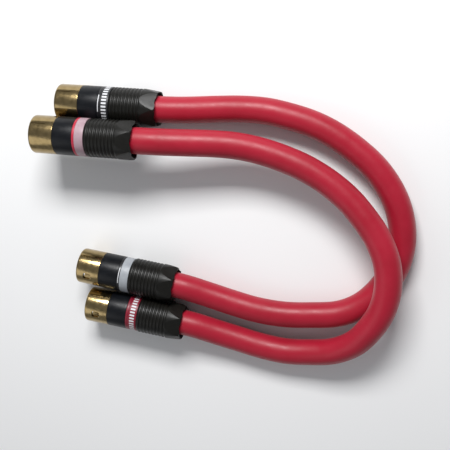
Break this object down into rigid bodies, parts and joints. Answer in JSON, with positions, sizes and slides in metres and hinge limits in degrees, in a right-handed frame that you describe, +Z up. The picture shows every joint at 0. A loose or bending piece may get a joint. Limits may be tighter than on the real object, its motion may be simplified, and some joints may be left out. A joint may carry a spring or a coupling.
{
  "type": "xlr cable",
  "caption": "Matched red-jacketed audio interconnect cables with gold-nosed female and male XLR connectors, coding bands and ribbed black boots, laid in an open loop.",
  "frame": {"origin": "on the table, at the bottom centre of the box round the four connectors, without the free jackets", "axes": "+Z up from the table; +X from the connectors' noses towards the loops; +Y from the male pair towards the female pair"},
  "size_m": [0.1947, 0.1469, 0.0335],
  "materials": {
    "jacket": "satin",
    "gold_plate": "polished",
    "barrel_black": "satin",
    "stripe_red": "satin",
    "band_pale": "satin",
    "insert_plastic": "matte",
    "contact_gold": "polished",
    "core_insulation": "satin",
    "chuck_plastic": "matte",
    "boot_black": "satin",
    "spring_steel": "satin",
    "band_red": "satin",
    "band_black": "satin",
    "band_white": "satin"
  },
  "bodies": {
    "white_cable": {"white_jacket": "jacket", "white_female_shell": "gold_plate", "white_female_barrel": "barrel_black", "white_female_stripe": "band_black", "white_female_band": "band_black", "white_female_insert": "insert_plastic", "white_female_sockets": "contact_gold", "white_female_cores": "core_insulation", "white_female_chuck": "chuck_plastic", "white_female_boot": "boot_black", "white_female_spring": "spring_steel", "white_male_shell": "gold_plate", "white_male_barrel": "barrel_black", "white_male_stripe": "band_black", "white_male_band": "band_white", "white_male_insert": "insert_plastic", "white_male_pins": "contact_gold", "white_male_cores": "core_insulation", "white_male_chuck": "chuck_plastic", "white_male_boot": "boot_black"},
    "red_cable": {"red_jacket": "jacket", "red_female_shell": "gold_plate", "red_female_barrel": "barrel_black", "red_female_stripe": "stripe_red", "red_female_band": "band_pale", "red_female_insert": "insert_plastic", "red_female_sockets": "contact_gold", "red_female_cores": "core_insulation", "red_female_chuck": "chuck_plastic", "red_female_boot": "boot_black", "red_female_spring": "spring_steel", "red_male_shell": "gold_plate", "red_male_barrel": "barrel_black", "red_male_stripe": "band_red", "red_male_band": "band_red", "red_male_insert": "insert_plastic", "red_male_pins": "contact_gold", "red_male_cores": "core_insulation", "red_male_chuck": "chuck_plastic", "red_male_boot": "boot_black"},
    "white_latch": {"white_female_latch": "gold_plate"},
    "red_latch": {"red_female_latch": "gold_plate"}
  },
  "joints": [
    {"name": "red_cable_lift", "type": "slide", "parent": "white_cable", "child": "red_cable", "axis": [0, 0, 1], "range_m": [0, 0.06]},
    {"name": "red_latch_press", "type": "slide", "parent": "red_cable", "child": "red_latch", "axis": [0.0333, 0.7063, 0.7071], "range_m": [0, 0.0012], "stiffness_N_per_m": 800, "springref_m": -0.001, "deforming": ["red_female_spring"]},
    {"name": "white_latch_press", "type": "slide", "parent": "white_cable", "child": "white_latch", "axis": [0.0395, 0.706, 0.7071], "range_m": [0, 0.0012], "stiffness_N_per_m": 800, "springref_m": -0.001, "deforming": ["white_female_spring"]}
  ]
}
